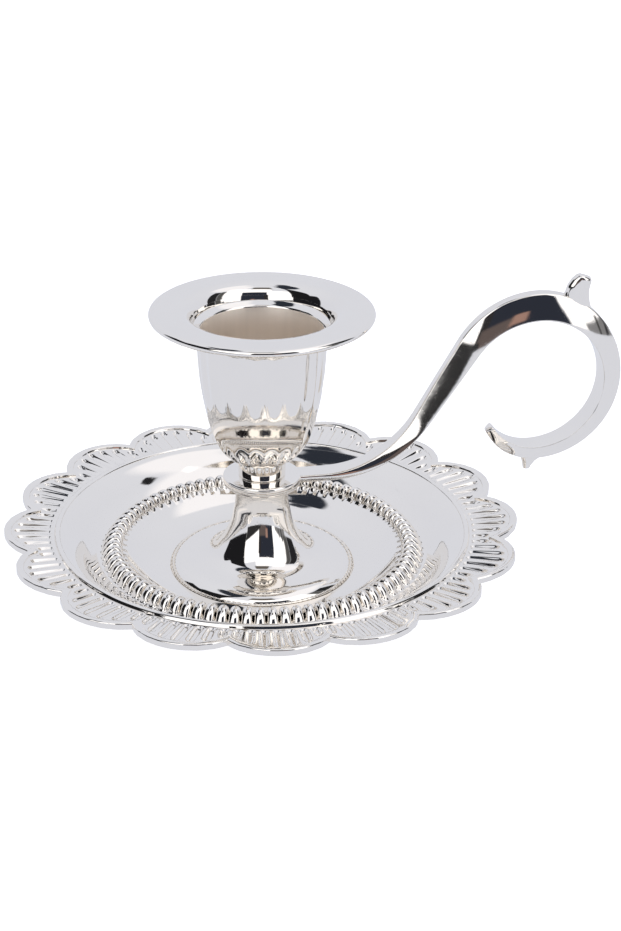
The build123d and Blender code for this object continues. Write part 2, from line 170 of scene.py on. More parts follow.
# The strip's section: bow of its sides as a share of its thickness, bow of the inner face, eased
# corners as shares of the smaller measure, and where the points lie along each side
SIDE_BOW = 0.03
INNER_BOW = 0.12 * MM
INNER_EASE = 0.08
OUTER_EASE = 0.30
SIDE_SHARES = (0.03, 0.2, 0.4, 0.6, 0.8, 0.97)

# Thumb rest and spur: places along the strip and levels over it, as shares of the height, of the
# side towards the collar and of the side towards the tip, from the root up
THUMB_REST_BACK = (
    (-0.44, 0.30), (-0.46, 0.48), (-0.50, 0.66), (-0.49, 0.80), (-0.45, 0.91), (-0.40, 1.0),
)
THUMB_REST_FRONT = (
    (0.46, 0.30), (0.28, 0.385), (0.07, 0.58), (-0.06, 0.76), (-0.10, 0.88), (-0.12, 0.95),
    (-0.17, 1.0),
)
SPUR_BACK = ((-0.60, 0.40), (-0.50, 0.50), (-0.26, 0.68), (-0.13, 0.84), (-0.07, 1.0))
SPUR_FRONT = ((0.42, 0.40), (0.36, 0.46), (0.26, 0.60), (0.22, 0.70), (0.18, 0.85), (0.15, 1.0))

# Their tips start to close at this level, over this run, and they narrow upwards by this share. The
# power squares up their sections.
HORN_TIP = (0.93, 0.075)
HORN_TAPER = 0.25
HORN_ROUND = 0.75

# Points along the strip, places tried along it for a horn, and the levels and corners of a horn
STRIP_STEPS = 220
HORN_PLACES = 600
HORN_LEVELS = 18
HORN_CORNERS = 20

# Colours of the pale tent, low down and overhead
TENT_LOW = (0.715, 0.74, 0.82, 1)
TENT_HIGH = (0.76, 0.785, 0.86, 1)

# What a light tent, open at the front, shows a mirror: azimuth of the middle from the front, half
# width, lowest and highest elevation, rise of both per degree of azimuth, softness, all in degrees,
# and brightness
STUDIO_CARDS = (
    ("right_roof", 78, 52, 53, 80, 0.0, 4.0, (1.0, 1.0, 1.05)),
    ("left_window", -40, 23, 1, 48, 0.0, 1.5, (1.35, 1.35, 1.38)),
    ("right_window", 46, 19, -4, 60, 0.0, 1.5, (1.35, 1.35, 1.38)),
    ("right_step", 54, 17, -12, 8, 0.35, 1.5, (0.22, 0.22, 0.23)),
    ("right_bar", 50, 1.2, -9, 9, 0.0, 0.8, (0.05, 0.05, 0.05)),
    ("right_post", 59, 1.6, -8, 13, 0.0, 0.8, (0.04, 0.04, 0.045)),
    ("front_window", 4, 32, 40, 58, 0.0, 2.0, (1.35, 1.35, 1.38)),
    ("front_opening", 4.5, 22.5, -4, 42, 0.0, 1.0, (0.026, 0.03, 0.044)),
    ("front_left_post", -16, 3.5, -4, 33, 0.0, 0.8, (0.03, 0.028, 0.03)),
    ("front_shade", -6, 11, -3, 9, 0.0, 1.5, (0.12, 0.095, 0.09)),
    ("front_glow", 7, 3.5, 2, 11, 0.0, 1.0, (0.36, 0.22, 0.18)),
    ("table_edge", -38, 24, -12, 7.5, -0.25, 1.0, (0.03, 0.03, 0.032)),
    ("left_gap", -91, 29, 4, 38, 0.0, 1.0, (0.012, 0.012, 0.014)),
    ("left_gap_top", -82, 20, 28, 57, 0.55, 1.5, (0.012, 0.012, 0.014)),
    ("right_gap", 84, 9, 5, 49, 0.0, 1.0, (0.02, 0.02, 0.022)),
    ("right_gap_edge", 69, 6, 5, 50, 0.0, 2.0, (0.09, 0.09, 0.09)),
    ("roof_gap", -104, 44, 63, 79, 0.0, 1.5, (0.025, 0.03, 0.042)),
    ("roof_seam", -156, 8, 66, 74, 0.08, 1.5, (0.03, 0.035, 0.048)),
    ("roof_front", -9, 24, 59, 72, 0.0, 2.5, (0.13, 0.115, 0.10)),
)


def length(name, millimetres, description):
    """A size in metres, given in millimetres."""
    return FloatProperty(name=name, description=description, default=millimetres * MM, unit="LENGTH")


def turn(name, degrees, description):
    """An angle, given in degrees."""
    return FloatProperty(name=name, description=description, default=radians(degrees), subtype="ANGLE")


def share(name, value, description):
    """A number from 0 to 1."""
    return FloatProperty(name=name, description=description, default=value, min=0, max=1, subtype="FACTOR")


def count(name, value, description):
    """A whole number of repeats."""
    return IntProperty(name=name, description=description, default=value, min=1)


def shade(name, value, description):
    """A linear colour."""
    return FloatVectorProperty(
        name=name, description=description, default=value, min=0, size=3, subtype="COLOR"
    )


class PlateSizes(PropertyGroup):
    """Sizes of the drip plate."""

    radius: length("Plate radius", 49.98, "From the axis to a lobe's tip")
    thickness: length("Plate thickness", 1.3, "Thickness of the casting")
    lobes: count("Lobes", 16, "Lobes round the rim")
    lobe_turn: turn("Lobe turn", 17.25, "Azimuth of the first lobe")
    scallop: length("Scallop depth", 3.9, "How far the valleys lie inside the tips")
    rim_inner: length("Rim radius", 39.2, "Where the rim begins")
    rim_height: length("Rim height", 10.1, "Height of the rim where it begins")
    rim_rise: length("Rim rise", 1.0, "How much the rim climbs to the tips")
    bead_width: length("Bead width", 1.0, "Width of the bead round the well")
    bead_height: length("Bead height", 0.35, "How far the bead stands up")
    lip_width: length("Lip width", 1.35, "Smooth lip at a lobe's tip")
    lip_wedge: length("Lip wedge", 2.05, "Smooth wedge in a valley")
    panel_depth: length("Panel depth", 0.30, "How far the fluted panels lie under the lip")
    flutes: count("Flutes", 7, "Flutes in a lobe")
    flute_width: length("Flute width", 1.75, "Width of a flute")
    flute_depth: length("Flute depth", 0.48, "Depth of a flute")
    flute_wall: length("Flute wall", 0.46, "Width of a flute's sloping wall")
    flute_inset: length("Flute inset", 0.45, "From the bead to a flute's inner end")
    flute_gap: length("Flute gap", 0.3, "From a flute's outer end to the lip")
    wall_foot: length("Wall foot radius", 30.8, "Where the well's wall ends")
    wall_foot_height: length("Wall foot height", 4.5, "Height of the wall's foot")
    wall_bow: length("Wall bow", 0.25, "How far each half of the wall's double curve bows")
    ring_inner: length("Ring radius", 27.2, "Inner radius of the ring of gadroons")
    ring_height: length("Ring height", 5.7, "Height of the floor at the ring")
    gadroons: count("Gadroons", 80, "Tongues in the ring")
    gadroon_turn: turn("Gadroon turn", 3.75, "Azimuth of the first tongue")
    gadroon_width: length("Gadroon width", 1.92, "Width of a tongue")
    gadroon_height: length("Gadroon height", 2.35, "Height of a tongue's crest over its root")
    gadroon_crest: length("Gadroon crest", 29.0, "Radius of the tongues' crests")
    gadroon_foot: length("Gadroon foot", 31.5, "Radius of the tongues' outer feet")
    floor_height: length("Floor height", 2.1, "Height of the flat floor")
    floor_bow: length("Floor bow", 0.9, "How far the floor's slope bows")
    seat: length("Seat radius", 18.45, "Radius of the flat floor")
    boss_radius: length("Boss radius", 6.5, "Radius of the boss under the stem")
    boss_slope: length("Boss slope", 1.4, "Run of the boss's slope")
    boss_under: length("Boss underside", 3.1, "Height of the boss's underside")
    hole: length("Screw hole", 2.15, "Radius of the hole for the tie screw")
    foot_ring: length("Foot ring", 19.5, "Middle radius of the foot ring")
    foot_width: length("Foot ring width", 2.0, "Width of the foot ring")


class StemSizes(PropertyGroup):
    """Sizes of the pedestal stem."""

    foot_radius: length("Foot radius", 18.05, "Radius of the foot disc")
    foot_land: length("Foot land", 3.0, "Width of the ring that stands on the plate")
    wall: length("Stem wall", 1.3, "Thickness of the stem's wall")


class CupSizes(PropertyGroup):
    """Sizes of the candle cup."""

    flutes: count("Bell flutes", 20, "Flutes round the bell")
    flute_turn: turn("Flute turn", 11.6, "Azimuth of the first ridge between flutes")
    flute_depth: length("Flute depth", 0.60, "Greatest depth of a flute")
    radius: length("Bell radius", 12.4, "Radius of the bell at its rim")
    bead: length("Bead radius", 13.15, "Radius of the bead under the flange")
    socket: length("Socket radius", 11.4, "Radius of the candle's socket")
    mouth: length("Mouth radius", 12.45, "Radius of the socket's eased mouth")


class FlangeSizes(PropertyGroup):
    """Sizes of the cup flange."""

    radius: length("Flange radius", 21.17, "Outer radius of the flange")
    thickness: length("Flange thickness", 1.4, "Thickness at the edge")
    funnel: length("Funnel radius", 15.8, "Where the flat flange rolls into the funnel")
    throat: length("Throat radius", 12.99, "Radius of the funnel's foot")


class HandleSizes(PropertyGroup):
    """Sizes of the handle."""

    collar: length("Collar radius", 7.5, "Radius of the collar between stem and cup")
    width: length("Strip width", 5.5, "Width of the strip's inner face")
    thickness: length("Strip thickness", 4.4, "Greatest thickness of the strip")
    lift: length("Strip lift", 0.35, "Height of the strip's inner face over the collar's underside")
    horn: length("Thumb rest height", 9.6, "From the inner face to the thumb rest's tip")
    horn_width: length("Thumb rest width", 2.9, "Across its root")
    horn_place: share("Thumb rest place", 0.610, "Where it stands, as a share of the strip's length")
    spur: length("Spur height", 5.35, "From the inner face to the spur's tip")
    spur_width: length("Spur width", 2.6, "Across its root")
    spur_place: share("Spur place", 0.921, "Where it stands, as a share of the strip's length")


class SilverLooks(PropertyGroup):
    """Colours and finish of the silver plate."""

    plate: shade("Silver", (0.955, 0.92, 0.872), "Reflected colour of the silver plate")
    satin: shade("Satin silver", (0.97, 0.885, 0.79), "Colour inside the socket")
    steel: shade("Steel", (0.62, 0.61, 0.6), "Colour of the screw and washer")
    gloss: share("Roughness", 0.05, "Roughness of the polished plate")
    matt: share("Satin roughness", 0.42, "Roughness inside the socket")


class StageLooks(PropertyGroup):
    """Camera, floor and studio."""

    camera_turn: turn("Camera azimuth", -9.0, "Where the camera stands round the object")
    camera_pitch: turn("Camera pitch", 25.1, "How far the camera looks down")
    camera_distance: length("Camera distance", 354.56, "Along the floor, from the axis")
    camera_height: length("Camera height", 189.03, "Over the floor")
    lens: FloatProperty(name="Lens", description="Focal length", default=78.74, unit="CAMERA")
    shift: FloatProperty(name="Shift", description="Sideways shift of the frame", default=0.0521)
    floor: length("Floor radius", 1500.0, "Radius of the pale floor")
    white: shade("White", (1.0, 1.0, 1.0), "Colour of the floor and backdrop")


def named(piece_name):
    """Gives the object just added this name, and starts to edit its mesh."""
    piece = bpy.context.object
    piece.name = piece_name
    piece.data.name = piece_name
    bpy.ops.object.mode_set(mode="EDIT")
    bpy.ops.mesh.select_all(action="SELECT")
    return piece


def lathe(piece_name, profile, columns, doublings):
    """Spins a profile of radii and heights about the axis in a share of a turn, and doubles that up."""
    bpy.ops.object.select_all(action="DESELECT")
    bpy.ops.mesh.primitive_plane_add(size=MM)
    piece = named(piece_name)
    bpy.ops.mesh.merge(type="CENTER")
    places = [Vector((radius, 0, height)) for radius, height in profile]
    bpy.ops.transform.translate(value=places[0])
    for here, there in zip(places, places[1:]):
        bpy.ops.mesh.extrude_vertices_move(TRANSFORM_OT_translate={"value": there - here})
    share_of_turn = tau / 2**doublings
    bpy.ops.mesh.select_all(action="SELECT")
    bpy.ops.mesh.spin(steps=columns, angle=share_of_turn, center=(0, 0, 0), axis=(0, 0, 1))
    for doubling in range(doublings):
        bpy.ops.mesh.select_all(action="SELECT")
        bpy.ops.mesh.duplicate()
        bpy.ops.transform.rotate(
            value=share_of_turn * 2**doubling, orient_axis="Z", center_override=(0, 0, 0)
        )
    bpy.ops.mesh.select_all(action="SELECT")
    bpy.ops.mesh.remove_doubles(threshold=MERGE)
    bpy.ops.mesh.normals_make_consistent(inside=False)
    bpy.ops.object.mode_set(mode="OBJECT")
    return piece


def press(piece, start, shape):
    """Turns a piece to start, and moves each vertex to the radius, azimuth and height that shape gives."""
    places = np.empty(len(piece.data.vertices) * 3)
    piece.data.vertices.foreach_get("co", places)
    places = places.reshape(-1, 3)
    radius = np.hypot(places[:, 0], places[:, 1])
    azimuth = np.arctan2(places[:, 1], places[:, 0]) + start
    radius, azimuth, height = shape(radius, azimuth, places[:, 2])
    moved = np.stack((radius * np.cos(azimuth), radius * np.sin(azimuth), height), axis=1)
    piece.data.vertices.foreach_set("co", moved.ravel())
    piece.data.update()


def finish_piece(piece, node, slot):
    """Shades a piece smooth up to a sharp angle, gives it the polished material named after its slot, ties
    it to the root body, and hides the imported node it stands in for.
    """
    bpy.ops.object.select_all(action="DESELECT")
    piece.select_set(True)
    bpy.context.view_layer.objects.active = piece
    bpy.ops.object.shade_smooth_by_angle(angle=SHARP_ANGLE)
    piece.data.materials.clear()
    piece.data.materials.append(polished(slot))
    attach(piece, "root")
    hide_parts(node)


def bowed(start, end, bow, steps):
    """Points after start, up to end, on a curve that bows to the left of the straight line."""
    run = Vector(end) - Vector(start)
    left = Vector((-run.y, run.x)).normalized()
    shares = [step / steps for step in range(1, steps + 1)]
    return [tuple(Vector(start) + run * part + left * bow * 4 * part * (1 - part)) for part in shares]


def rounded(corner, start, end, steps=4):
    """Points of a quarter round from start to end under this corner."""
    swing = [step / steps * pi / 2 for step in range(steps + 1)]
    corner = Vector(corner)
    first = Vector(start) - corner
    last = Vector(end) - corner
    return [tuple(corner + first * (1 - sin(angle)) + last * (1 - cos(angle))) for angle in swing]


def spread(low, high, steps):
    """Evenly spaced numbers after low, up to high."""
    return [low + (high - low) * step / steps for step in range(1, steps + 1)]


def smooth(value):
    """A smooth step from 0 to 1."""
    value = np.clip(value, 0, 1)
    return value * value * (3 - 2 * value)


def within_pitch(azimuth, first, pitch):
    """How far each azimuth lies past the nearest of the repeats that start at first."""
    return (azimuth - first + pitch / 2) % pitch - pitch / 2


def gathered(part, column_share, goal):
    """Shares of half a pitch, with the columns up to column_share gathered within goal."""
    beyond = (part - column_share) / (1 - column_share)
    return np.where(part < column_share, part / column_share * goal, goal + beyond * (1 - goal))


def lobe_reach(sizes, inset, wedge, azimuth):
    """Radius at each azimuth of a scalloped line, this far inside the tips and inside the valleys."""
    tip = sizes.radius - inset
    valley = sizes.radius - sizes.scallop - wedge
    pitch = tau / sizes.lobes
    offset = within_pitch(azimuth, sizes.lobe_turn, pitch)
    centre = (tip**2 - valley**2) / (tip - valley * cos(pitch / 2)) / 2
    return centre * np.cos(offset) + np.sqrt((tip - centre) ** 2 - (centre * np.sin(offset)) ** 2)


def rim_profile(sizes):
    """The rim's closed outline: bead, panel, lip, round edge and underside."""
    inner = sizes.rim_inner
    bead_outer = inner + sizes.bead_width
    reach = sizes.radius - bead_outer
    arch = bead_outer + reach * ARCH_SHARE
    slope = sizes.rim_rise / reach

    def top(radius):
        return sizes.rim_height + slope * (radius - bead_outer)

    profile = [(inner, sizes.rim_height)]
    for step in range(1, 8):
        angle = pi * step / 8
        across = inner + sizes.bead_width * (1 - cos(angle)) / 2
        profile.append((across, sizes.rim_height + sizes.bead_height * sin(angle)))
    edge_round = sizes.thickness * EDGE_SHARE
    flat_end = sizes.radius - edge_round
    rings = [bead_outer]
    # Rings lie close together where flutes begin and end
    for end, steps in ((bead_outer + 2.0 * MM, 11), (arch - 1.7 * MM, 5), (arch - 0.12 * MM, 10)):
        rings += spread(rings[-1], end, steps)
    rings += [arch] + spread(arch, flat_end, 5)
    profile += [(radius, top(radius)) for radius in rings]
    upper = (sizes.radius, top(sizes.radius))
    lower = (sizes.radius, top(sizes.radius) - sizes.thickness)
    profile += rounded(upper, (flat_end, top(flat_end)), (upper[0], upper[1] - edge_round))[1:]
    profile += rounded(lower, (lower[0], lower[1] + edge_round), (flat_end, lower[1]))
    profile += [(radius, top(radius) - sizes.thickness) for radius in spread(flat_end, inner, 5)]
    profile.append((inner, sizes.rim_height))
    return profile


def rim_shape(sizes):
    """How the rim's turned mesh is pressed into lobes, panels and flutes."""
    bead_outer = sizes.rim_inner + sizes.bead_width
    reach = sizes.radius - bead_outer
    pitch = tau / sizes.lobes / sizes.flutes
    half_width = sizes.flute_width / 2
    beside = half_width / (sizes.radius - sizes.scallop)

    def arch_at(azimuth):
        return lobe_reach(sizes, sizes.lip_width, sizes.lip_wedge, azimuth)

    def shape(radius, azimuth, height):
        along = (radius - bead_outer) / reach
        past_arch = (along - ARCH_SHARE) / (1 - ARCH_SHARE)
        on_top = height - sizes.rim_height - sizes.rim_rise * along > -sizes.thickness * 0.1
        arch = arch_at(azimuth)
        inside = bead_outer + along / ARCH_SHARE * (arch - bead_outer)
        outside = arch + past_arch * (lobe_reach(sizes, 0, 0, azimuth) - arch)
        placed = np.where(along <= 0, radius, np.where(past_arch < 0, inside, outside))

        offset = within_pitch(azimuth, sizes.lobe_turn, pitch)
        middle = azimuth - offset
        half_angle = half_width / placed
        aside = gathered(np.abs(offset) / (pitch / 2), FLUTE_COLUMNS, half_angle / (pitch / 2))
        turned = middle + np.sign(offset) * aside * pitch / 2
        turned = azimuth + (turned - azimuth) * np.clip(along / ARCH_SHARE * GATHER_RUN, 0, 1)

        across = placed * np.sin(turned - middle)
        out = placed * np.cos(turned - middle)
        first = bead_outer + sizes.flute_inset + half_width
        last = np.minimum(arch_at(middle - beside), arch_at(middle + beside))
        last -= sizes.flute_gap + half_width * FLUTE_END_LENGTH
        beyond = out - np.clip(out, first, last)
        distance = np.hypot(across, np.where(beyond > 0, beyond * FLUTE_END_STRETCH, beyond))
        sunk = smooth((half_width - distance) / sizes.flute_wall)
        sunk *= 1 + FLUTE_HOLLOW * np.clip(1 - (distance / half_width) ** 2, 0, 1)
        sunk *= INNER_DEPTH + (1 - INNER_DEPTH) * np.clip((out - first) / (last - first), 0, 1)
        panel = smooth(along / PANEL_STEPS[0]) * smooth((ARCH_SHARE - along) / PANEL_STEPS[1])
        dip = panel * (sizes.panel_depth + sizes.flute_depth * sunk)
        crown = LIP_CROWN * np.sin(pi * np.clip(past_arch, 0, 1))
        rise = np.where(along > 0, sizes.rim_rise * (placed - radius) / reach, 0)
        return placed, turned, height + rise + np.where(on_top, crown - dip, 0)

    return shape


def well_profile(sizes):
    """The well's closed outline: boss, floor, ring, wall and underside with the foot ring."""
    under_floor = sizes.floor_height - sizes.thickness
    boss_top = sizes.boss_under + sizes.thickness
    boss_foot = sizes.boss_radius + sizes.boss_slope
    middle = ((sizes.wall_foot + sizes.rim_inner) / 2, (sizes.wall_foot_height + sizes.rim_height) / 2)
    foot = (sizes.wall_foot, sizes.wall_foot_height)
    brim = (sizes.rim_inner, sizes.rim_height)
    ring = (sizes.ring_inner, sizes.ring_height)
    seat = (sizes.seat, sizes.floor_height)
    profile = [(sizes.hole, sizes.boss_under), (sizes.hole, boss_top), (sizes.boss_radius, boss_top)]
    profile += [(boss_foot, sizes.floor_height)]
    profile += [(radius, sizes.floor_height) for radius in spread(boss_foot, sizes.seat, 4)]
    profile += bowed(seat, ring, -sizes.floor_bow, 14)
    wall = [foot] + bowed(foot, middle, -sizes.wall_bow, 9) + bowed(middle, brim, sizes.wall_bow, 9)
    ring_end = next(point for point in wall if point[0] > sizes.gadroon_foot)
    profile += zip(spread(ring[0], ring_end[0], 16), spread(ring[1], ring_end[1], 16))
    profile += [point for point in wall if point[0] > ring_end[0]]
    lap = sizes.bead_width * 0.4
    profile += [(brim[0] + lap, brim[1] - lap), (brim[0] + lap, brim[1] - sizes.thickness + lap)]
    profile += [(brim[0], brim[1] - sizes.thickness)]
    profile += [(radius, height - sizes.thickness) for radius, height in wall[-2::-1]]
    profile += [(ring[0], ring[1] - sizes.thickness)]
    outer = sizes.foot_ring + sizes.foot_width / 2
    inner = sizes.foot_ring - sizes.foot_width / 2
    eased = sizes.foot_width * 0.2
    profile += [(outer, under_floor + 0.9 * MM), (outer, eased), (outer - eased, 0)]
    profile += [(inner + eased, 0), (inner, eased), (inner, under_floor)]
    inset = sizes.thickness / 2
    profile += [(boss_foot - inset, under_floor), (sizes.boss_radius - inset, sizes.boss_under)]
    profile += [(sizes.hole, sizes.boss_under)]
    return profile


def gadroon_shape(sizes):
    """How the well's ring is pressed into round-topped tongues with round noses."""
    pitch = tau / sizes.gadroons
    half_width = sizes.gadroon_width / 2
    low = sizes.ring_inner
    span = sizes.gadroon_foot - low
    crest = (sizes.gadroon_crest - low) / span

    def shape(radius, azimuth, height):
        part = (radius - low) / span
        line = sizes.ring_height + (sizes.wall_foot_height - sizes.ring_height) * part
        in_ring = (part > -0.001) & (part < 1.001) & (height > line - sizes.thickness / 2)
        offset = within_pitch(azimuth, sizes.gadroon_turn, pitch)
        side = np.abs(offset) / (pitch / 2)
        swing = np.sin(np.clip(side / TONGUE_COLUMNS, 0, 1) * pi / 2)
        goal = half_width / radius / (pitch / 2)
        aside = np.where(side < TONGUE_COLUMNS, swing * goal, gathered(side, TONGUE_COLUMNS, goal))
        turned = np.where(in_ring, azimuth - offset + np.sign(offset) * aside * pitch / 2, azimuth)

        drop = half_width * (1 - np.sqrt(np.clip(1 - swing**2, 0, None)))
        nose_angle = np.clip(part / crest, 0, 1) * pi / 2
        slope_angle = np.clip((part - crest) / (1 - crest), 0, 1) * pi / 2
        body = np.where(part < crest, np.sin(nose_angle), np.cos(slope_angle) ** TONGUE_SLOPE)
        lift = np.clip(body * sizes.gadroon_height - drop * TONGUE_ROUND, 0, None)
        lift *= side < TONGUE_COLUMNS + 0.01
        nose = low + crest * span * (1 - np.cos(nose_angle)) + drop * NOSE_ROUND * np.cos(nose_angle)
        nosed = np.where(in_ring & (part < crest), nose, radius)
        return nosed, turned, height + np.where(in_ring, lift, 0)

    return shape


def bell_profile(sizes):
    """The cup's closed outline: straight neck, bell, bead, ledge, socket and socket floor."""
    low = cup_low.z
    high = cup_high.z
    tall = high - low
    profile = [(0, low)] + [(radius * MM, low + height * MM) for radius, height in NECK]
    profile += [(wide * sizes.radius, low + up * tall) for up, wide in BELL]
    bead_low = high - 1.5 * MM
    profile += [(sizes.bead - 0.15 * MM, bead_low), (sizes.bead, bead_low + 0.3 * MM)]
    profile += [(sizes.bead, high - 0.1 * MM), (sizes.bead - 0.05 * MM, high)]
    profile += [(radius * MM, high - depth * MM) for radius, depth in LEDGE_WALL]
    ledge = high - LEDGE_DEPTH
    profile += [(sizes.mouth, ledge - 0.1 * MM), (sizes.socket + 0.6 * MM, ledge - 0.45 * MM)]
    profile += [(sizes.socket + 0.2 * MM, ledge - 0.7 * MM), (sizes.socket, ledge - 1.0 * MM)]
    profile += [(sizes.socket * wide, low + up * tall) for up, wide in SOCKET_WALL]
    floor = low + SOCKET_FLOOR
    profile += [(sizes.socket * 0.63, floor + 0.3 * MM), (sizes.socket * 0.58, floor), (0, floor)]
    return profile


def bell_shape(sizes):
    """How the turned bell is pressed into hollow flutes that fade upwards."""
    low = cup_low.z
    tall = cup_high.z - cup_low.z
    pitch = tau / sizes.flutes

    def shape(radius, azimuth, height):
        up = (height - low) / tall
        # Only the outside skin is fluted, and not the socket inside it
        inner_skin = sizes.radius * (0.36 + 0.5 * np.clip(up / 0.3, 0, 1))
        outside = (radius > inner_skin) | ((up < 0.22) & (radius > sizes.radius * 0.3))
        outside &= (up <= 0.3) | (radius >= sizes.socket * 1.001)
        offset = (azimuth - sizes.flute_turn) % pitch - pitch / 2
        hollow = 0.5 + 0.5 * np.cos(tau * offset / pitch)
        depth = np.interp(up, FLUTE_LEVELS, FLUTE_DEPTHS) * sizes.flute_depth
        return radius - np.where(outside, depth * hollow, 0), azimuth, height

    return shape


def flange_profile(sizes):
    """The flange's closed outline: flat top, rolled funnel, underside and round edge."""
    top = flange_high.z
    under = top - sizes.thickness
    edge = sizes.thickness * 0.42
    flat = sizes.radius - edge
    crown = sizes.radius - 0.95 * MM
    shoulder = top - sizes.thickness * 0.55
    profile = rounded((sizes.radius, under), (flat, under), (sizes.radius, under + edge), 5)
    profile += rounded((sizes.radius, top), (sizes.radius, shoulder), (crown, top), 8)
    profile += [(radius, top) for radius in spread(crown, sizes.funnel, 8)]
    profile += [(radius * MM, top - depth * MM) for radius, depth in FUNNEL]
    profile += [(sizes.throat, flange_low.z)]
    profile += [(radius * MM, flange_low.z + height * MM) for radius, height in FUNNEL_UNDER]
    profile += [(sizes.funnel, under), (flat, under)]
    return profile


def stem_profile(sizes):
    """The stem's closed outline: foot disc, trumpet, land on top and hollow inside."""
    low = stem_low.z
    high = stem_high.z
    land = high - 2 * sizes.wall
    seat_inner = sizes.foot_radius - sizes.foot_land
    profile = [(seat_inner, low), (sizes.foot_radius - 0.15 * MM, low)]
    profile += [(sizes.foot_radius, low + 0.1 * MM)]
    profile += [(radius * MM, height * MM) for radius, height in TRUMPET]
    profile += [(5.05 * MM, high - 0.1 * MM), (4.95 * MM, high), (SCREW_WAY, high)]
    profile += [(SCREW_WAY, land), (3.75 * MM, land)]
    profile += [(radius * MM, height * MM) for radius, height in STEM_HOLLOW]
    profile += [(seat_inner, low)]
    return profile


class CHAMBERSTICK_OT_plate(Operator):
    """Builds the drip plate: fluted rim and gadrooned well"""

    bl_idname = "chamberstick.plate"
    bl_label = "Drip plate"

    def execute(self, context):
        sizes = context.scene.chamberstick_plate
        rim = lathe("plate_rim", rim_profile(sizes), sizes.flutes * COLUMNS_EACH, 4)
        press(rim, sizes.lobe_turn, rim_shape(sizes))
        finish_piece(rim, "drip_plate", "plate_silver")
        well = lathe("plate_well", well_profile(sizes), sizes.gadroons * COLUMNS_EACH // 16, 4)
        press(well, sizes.gadroon_turn, gadroon_shape(sizes))
        finish_piece(well, "drip_plate", "plate_silver")
        return {"FINISHED"}


class CHAMBERSTICK_OT_stem(Operator):
    """Builds the pedestal stem"""

    bl_idname = "chamberstick.stem"
    bl_label = "Pedestal stem"

    def execute(self, context):
        stem = lathe("stem_trumpet", stem_profile(context.scene.chamberstick_stem), 64, 2)
        finish_piece(stem, "pedestal_stem", "stem_silver")
        return {"FINISHED"}


class CHAMBERSTICK_OT_cup(Operator):
    """Builds the fluted candle cup"""

    bl_idname = "chamberstick.cup"
    bl_label = "Candle cup"

    def execute(self, context):
        sizes = context.scene.chamberstick_cup
        cup = lathe("cup_bell", bell_profile(sizes), sizes.flutes * 4, 2)
        press(cup, sizes.flute_turn, bell_shape(sizes))
        finish_piece(cup, "candle_cup", "cup_silver")
        cup.data.materials.append(satin("cup_satin"))
        satin_low = cup_low.z + SOCKET_FLOOR - 0.4 * MM
        for face in cup.data.polygons:
            in_socket = face.center.xy.length < sizes.socket * 1.003 and face.center.z > satin_low
            faces_in = face.normal.xy.dot(face.center.xy) <= 0
            face.material_index = int(in_socket and faces_in)
        return {"FINISHED"}


class CHAMBERSTICK_OT_flange(Operator):
    """Builds the cup flange"""

    bl_idname = "chamberstick.flange"
    bl_label = "Cup flange"

    def execute(self, context):
        flange = lathe("flange_ring", flange_profile(context.scene.chamberstick_flange), 64, 2)
        finish_piece(flange, "cup_flange", "flange_silver")
        return {"FINISHED"}


def strip_line(sizes, steps):
    """The strip's inner face as places and headings along it, and their shares of its length."""
    lengths = [long * MM for long, _ in STRIP_RUNS]
    bends = [radians(bend) for _, bend in STRIP_RUNS]
    marks = np.concatenate(([0], np.cumsum(lengths)))
    headings = np.concatenate(([0], np.cumsum(bends)))
    along = np.linspace(0, marks[-1], steps)
    step = along[1]
    middle = np.interp(along[1:] - step / 2, marks, headings)
    x = STRIP_START + np.concatenate(([0], np.cumsum(step * np.cos(middle))))
    z = stem_high.z + sizes.lift + np.concatenate(([0], np.cumsum(step * np.sin(middle))))
    return (x, z, np.interp(along, marks, headings)), along / marks[-1]


def strip_frame(line, number):
    """Place, direction ahead and direction out of the inner face, at one point of the strip's line."""
    x, z, heading = line
    ahead = Vector((cos(heading[number]), 0, sin(heading[number])))
    out = Vector((-sin(heading[number]), 0, cos(heading[number])))
    return Vector((x[number], 0, z[number])), ahead, out


def softened(values, reach=5):
    """Values averaged with their neighbours, so that a table's corners don't show."""
    padded = np.pad(values, reach, mode="edge")
    return np.convolve(padded, np.ones(2 * reach + 1) / (2 * reach + 1), mode="valid")


def section_outline(half_inner, half_outer, tall, steps=4):
    """Points round the strip's section: across it, and out from its inner face."""
    side_bow = tall * SIDE_BOW
    inner_ease = min(half_inner, tall) * INNER_EASE
    outer_ease = min(half_outer, tall) * OUTER_EASE
    corners = [
        (Vector((half_inner, 0)), inner_ease, side_bow),
        (Vector((half_outer, tall)), outer_ease, 0),
        (Vector((-half_outer, tall)), outer_ease, side_bow),
        (Vector((-half_inner, 0)), inner_ease, INNER_BOW),
    ]
    centre = Vector((0, tall / 2))
    points = []
    for number, (corner, ease, bow) in enumerate(corners):
        before = corners[number - 1][0]
        after, next_ease, _ = corners[(number + 1) % 4]
        start = corner + (before - corner).normalized() * ease
        end = corner + (after - corner).normalized() * ease
        for step in range(steps + 1):
            part = step / steps
            points.append(start * (1 - part) ** 2 + corner * 2 * part * (1 - part) + end * part**2)
        run = after + (corner - after).normalized() * next_ease - end
        outward = Vector((run.y, -run.x)).normalized()
        if outward.dot(end - centre) < 0:
            outward = -outward
        for part in SIDE_SHARES:
            points.append(end + run * part + outward * bow * 4 * part * (1 - part))
    return points


